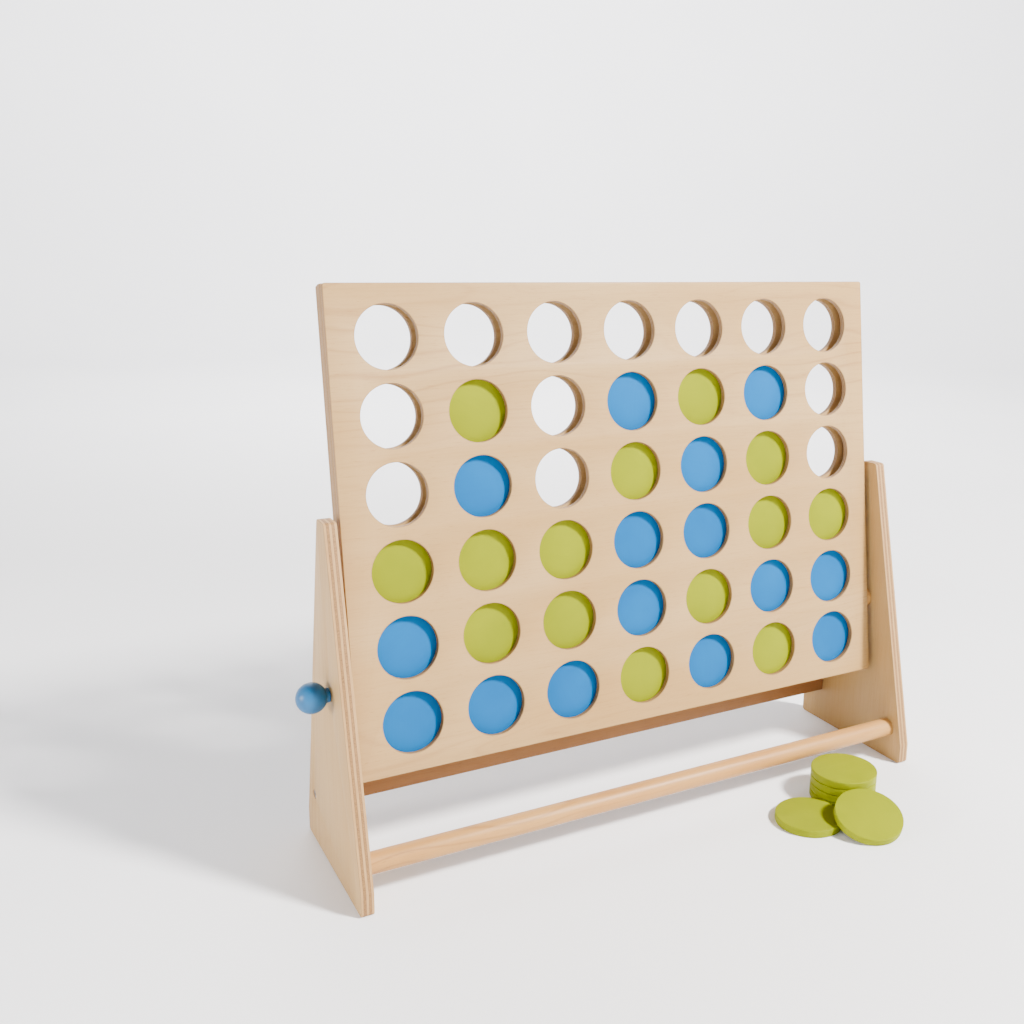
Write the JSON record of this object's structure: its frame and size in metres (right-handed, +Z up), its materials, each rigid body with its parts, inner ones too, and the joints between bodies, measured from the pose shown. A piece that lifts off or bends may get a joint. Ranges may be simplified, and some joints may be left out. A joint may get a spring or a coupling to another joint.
{
  "type": "giant four in a row",
  "caption": "Upright slotted plywood board with round viewing holes, tilting on clamp knobs between two tapered legs, with green and blue wooden chips in its slots and on the floor.",
  "frame": {"origin": "centre of the footprint on the floor, loose chips included", "axes": "+X to the player's right along the board, -Y to the front where the board faces, +Z up"},
  "size_m": [0.702, 0.2956, 0.538],
  "materials": {
    "birch_ply": "clear satin",
    "core_strip": "clear satin",
    "beech_dowel": "clear satin",
    "green_chip": "satin paint",
    "blue_chip": "satin paint",
    "knob_blue": "gloss paint",
    "steel": "bright zinc"
  },
  "bodies": {
    "stand": {"left_leg": "birch_ply", "right_leg": "birch_ply", "rear_stretcher": "birch_ply", "front_dowel": "beech_dowel", "left_stretcher_screw": "steel", "right_stretcher_screw": "steel", "left_tilt_spacer": "beech_dowel", "right_tilt_spacer": "beech_dowel"},
    "board": {"front_panel": "birch_ply", "back_panel": "birch_ply", "base_rail": "core_strip", "slot_divider_1": "core_strip", "slot_divider_2": "core_strip", "slot_divider_3": "core_strip", "slot_divider_4": "core_strip", "slot_divider_5": "core_strip", "slot_divider_6": "core_strip", "left_side_rail": "core_strip", "right_side_rail": "core_strip", "left_threaded_insert": "steel", "right_threaded_insert": "steel"},
    "left_knob": {"left_knob_ball": "knob_blue", "left_knob_stud": "steel"},
    "right_knob": {"right_knob_ball": "knob_blue", "right_knob_stud": "steel"},
    "chip_c1_r1": {"chip_c1_r1": "blue_chip"},
    "chip_c1_r2": {"chip_c1_r2": "blue_chip"},
    "chip_c1_r3": {"chip_c1_r3": "green_chip"},
    "chip_c2_r1": {"chip_c2_r1": "blue_chip"},
    "chip_c2_r2": {"chip_c2_r2": "green_chip"},
    "chip_c2_r3": {"chip_c2_r3": "green_chip"},
    "chip_c2_r4": {"chip_c2_r4": "blue_chip"},
    "chip_c2_r5": {"chip_c2_r5": "green_chip"},
    "chip_c3_r1": {"chip_c3_r1": "blue_chip"},
    "chip_c3_r2": {"chip_c3_r2": "green_chip"},
    "chip_c3_r3": {"chip_c3_r3": "green_chip"},
    "chip_c4_r1": {"chip_c4_r1": "green_chip"},
    "chip_c4_r2": {"chip_c4_r2": "blue_chip"},
    "chip_c4_r3": {"chip_c4_r3": "blue_chip"},
    "chip_c4_r4": {"chip_c4_r4": "green_chip"},
    "chip_c4_r5": {"chip_c4_r5": "blue_chip"},
    "chip_c5_r1": {"chip_c5_r1": "blue_chip"},
    "chip_c5_r2": {"chip_c5_r2": "green_chip"},
    "chip_c5_r3": {"chip_c5_r3": "blue_chip"},
    "chip_c5_r4": {"chip_c5_r4": "blue_chip"},
    "chip_c5_r5": {"chip_c5_r5": "green_chip"},
    "chip_c6_r1": {"chip_c6_r1": "green_chip"},
    "chip_c6_r2": {"chip_c6_r2": "blue_chip"},
    "chip_c6_r3": {"chip_c6_r3": "green_chip"},
    "chip_c6_r4": {"chip_c6_r4": "green_chip"},
    "chip_c6_r5": {"chip_c6_r5": "blue_chip"},
    "chip_c7_r1": {"chip_c7_r1": "blue_chip"},
    "chip_c7_r2": {"chip_c7_r2": "blue_chip"},
    "chip_c7_r3": {"chip_c7_r3": "green_chip"},
    "loose_chip_1": {"loose_chip_1": "green_chip"},
    "loose_chip_2": {"loose_chip_2": "green_chip"},
    "loose_chip_3": {"loose_chip_3": "green_chip"},
    "loose_chip_4": {"loose_chip_4": "green_chip"},
    "loose_chip_5": {"loose_chip_5": "green_chip"},
    "loose_chip_6": {"loose_chip_6": "green_chip"}
  },
  "joints": [
    {"name": "board_tilt", "type": "hinge", "parent": "stand", "child": "board", "pos_m": [0, 0.05315, 0.18], "axis": [1, 0, 0], "range_deg": [-105, 120]},
    {"name": "left_knob_turn", "type": "hinge", "parent": "stand", "child": "left_knob", "pos_m": [-0.321, 0.05315, 0.18], "axis": [-1, 0, 0], "continuous": true},
    {"name": "right_knob_turn", "type": "hinge", "parent": "stand", "child": "right_knob", "pos_m": [0.321, 0.05315, 0.18], "axis": [1, 0, 0], "continuous": true},
    {"name": "chip_c1_r1_slide", "type": "slide", "parent": "board", "child": "chip_c1_r1", "axis": [0, 0.1392, 0.9903], "range_m": [0, 0.4367]},
    {"name": "chip_c1_r2_slide", "type": "slide", "parent": "chip_c1_r1", "child": "chip_c1_r2", "axis": [0, 0.1392, 0.9903], "range_m": [0, 0.3667]},
    {"name": "chip_c1_r3_slide", "type": "slide", "parent": "chip_c1_r2", "child": "chip_c1_r3", "axis": [0, 0.1392, 0.9903], "range_m": [0, 0.2967]},
    {"name": "chip_c2_r1_slide", "type": "slide", "parent": "board", "child": "chip_c2_r1", "axis": [0, 0.1392, 0.9903], "range_m": [0, 0.4367]},
    {"name": "chip_c2_r2_slide", "type": "slide", "parent": "chip_c2_r1", "child": "chip_c2_r2", "axis": [0, 0.1392, 0.9903], "range_m": [0, 0.3667]},
    {"name": "chip_c2_r3_slide", "type": "slide", "parent": "chip_c2_r2", "child": "chip_c2_r3", "axis": [0, 0.1392, 0.9903], "range_m": [0, 0.2967]},
    {"name": "chip_c2_r4_slide", "type": "slide", "parent": "chip_c2_r3", "child": "chip_c2_r4", "axis": [0, 0.1392, 0.9903], "range_m": [0, 0.2267]},
    {"name": "chip_c2_r5_slide", "type": "slide", "parent": "chip_c2_r4", "child": "chip_c2_r5", "axis": [0, 0.1392, 0.9903], "range_m": [0, 0.1567]},
    {"name": "chip_c3_r1_slide", "type": "slide", "parent": "board", "child": "chip_c3_r1", "axis": [0, 0.1392, 0.9903], "range_m": [0, 0.4367]},
    {"name": "chip_c3_r2_slide", "type": "slide", "parent": "chip_c3_r1", "child": "chip_c3_r2", "axis": [0, 0.1392, 0.9903], "range_m": [0, 0.3667]},
    {"name": "chip_c3_r3_slide", "type": "slide", "parent": "chip_c3_r2", "child": "chip_c3_r3", "axis": [0, 0.1392, 0.9903], "range_m": [0, 0.2967]},
    {"name": "chip_c4_r1_slide", "type": "slide", "parent": "board", "child": "chip_c4_r1", "axis": [0, 0.1392, 0.9903], "range_m": [0, 0.4367]},
    {"name": "chip_c4_r2_slide", "type": "slide", "parent": "chip_c4_r1", "child": "chip_c4_r2", "axis": [0, 0.1392, 0.9903], "range_m": [0, 0.3667]},
    {"name": "chip_c4_r3_slide", "type": "slide", "parent": "chip_c4_r2", "child": "chip_c4_r3", "axis": [0, 0.1392, 0.9903], "range_m": [0, 0.2967]},
    {"name": "chip_c4_r4_slide", "type": "slide", "parent": "chip_c4_r3", "child": "chip_c4_r4", "axis": [0, 0.1392, 0.9903], "range_m": [0, 0.2267]},
    {"name": "chip_c4_r5_slide", "type": "slide", "parent": "chip_c4_r4", "child": "chip_c4_r5", "axis": [0, 0.1392, 0.9903], "range_m": [0, 0.1567]},
    {"name": "chip_c5_r1_slide", "type": "slide", "parent": "board", "child": "chip_c5_r1", "axis": [0, 0.1392, 0.9903], "range_m": [0, 0.4367]},
    {"name": "chip_c5_r2_slide", "type": "slide", "parent": "chip_c5_r1", "child": "chip_c5_r2", "axis": [0, 0.1392, 0.9903], "range_m": [0, 0.3667]},
    {"name": "chip_c5_r3_slide", "type": "slide", "parent": "chip_c5_r2", "child": "chip_c5_r3", "axis": [0, 0.1392, 0.9903], "range_m": [0, 0.2967]},
    {"name": "chip_c5_r4_slide", "type": "slide", "parent": "chip_c5_r3", "child": "chip_c5_r4", "axis": [0, 0.1392, 0.9903], "range_m": [0, 0.2267]},
    {"name": "chip_c5_r5_slide", "type": "slide", "parent": "chip_c5_r4", "child": "chip_c5_r5", "axis": [0, 0.1392, 0.9903], "range_m": [0, 0.1567]},
    {"name": "chip_c6_r1_slide", "type": "slide", "parent": "board", "child": "chip_c6_r1", "axis": [0, 0.1392, 0.9903], "range_m": [0, 0.4367]},
    {"name": "chip_c6_r2_slide", "type": "slide", "parent": "chip_c6_r1", "child": "chip_c6_r2", "axis": [0, 0.1392, 0.9903], "range_m": [0, 0.3667]},
    {"name": "chip_c6_r3_slide", "type": "slide", "parent": "chip_c6_r2", "child": "chip_c6_r3", "axis": [0, 0.1392, 0.9903], "range_m": [0, 0.2967]},
    {"name": "chip_c6_r4_slide", "type": "slide", "parent": "chip_c6_r3", "child": "chip_c6_r4", "axis": [0, 0.1392, 0.9903], "range_m": [0, 0.2267]},
    {"name": "chip_c6_r5_slide", "type": "slide", "parent": "chip_c6_r4", "child": "chip_c6_r5", "axis": [0, 0.1392, 0.9903], "range_m": [0, 0.1567]},
    {"name": "chip_c7_r1_slide", "type": "slide", "parent": "board", "child": "chip_c7_r1", "axis": [0, 0.1392, 0.9903], "range_m": [0, 0.4367]},
    {"name": "chip_c7_r2_slide", "type": "slide", "parent": "chip_c7_r1", "child": "chip_c7_r2", "axis": [0, 0.1392, 0.9903], "range_m": [0, 0.3667]},
    {"name": "chip_c7_r3_slide", "type": "slide", "parent": "chip_c7_r2", "child": "chip_c7_r3", "axis": [0, 0.1392, 0.9903], "range_m": [0, 0.2967]},
    {"name": "loose_chip_1_lift", "type": "slide", "parent": "stand", "child": "loose_chip_1", "axis": [0, 0, 1], "range_m": [0, 0.015]},
    {"name": "loose_chip_2_lift", "type": "slide", "parent": "loose_chip_1", "child": "loose_chip_2", "axis": [0, 0, 1], "range_m": [0, 0.015]},
    {"name": "loose_chip_3_lift", "type": "slide", "parent": "loose_chip_2", "child": "loose_chip_3", "axis": [0, 0, 1], "range_m": [0, 0.015]},
    {"name": "loose_chip_4_lift", "type": "slide", "parent": "loose_chip_3", "child": "loose_chip_4", "axis": [0, 0, 1], "range_m": [0, 0.015]},
    {"name": "loose_chip_5_lift", "type": "slide", "parent": "stand", "child": "loose_chip_5", "axis": [0, 0, 1], "range_m": [0, 0.015]},
    {"name": "loose_chip_6_lift", "type": "slide", "parent": "loose_chip_5", "child": "loose_chip_6", "axis": [0, 0, 1], "range_m": [0, 0.015]}
  ]
}
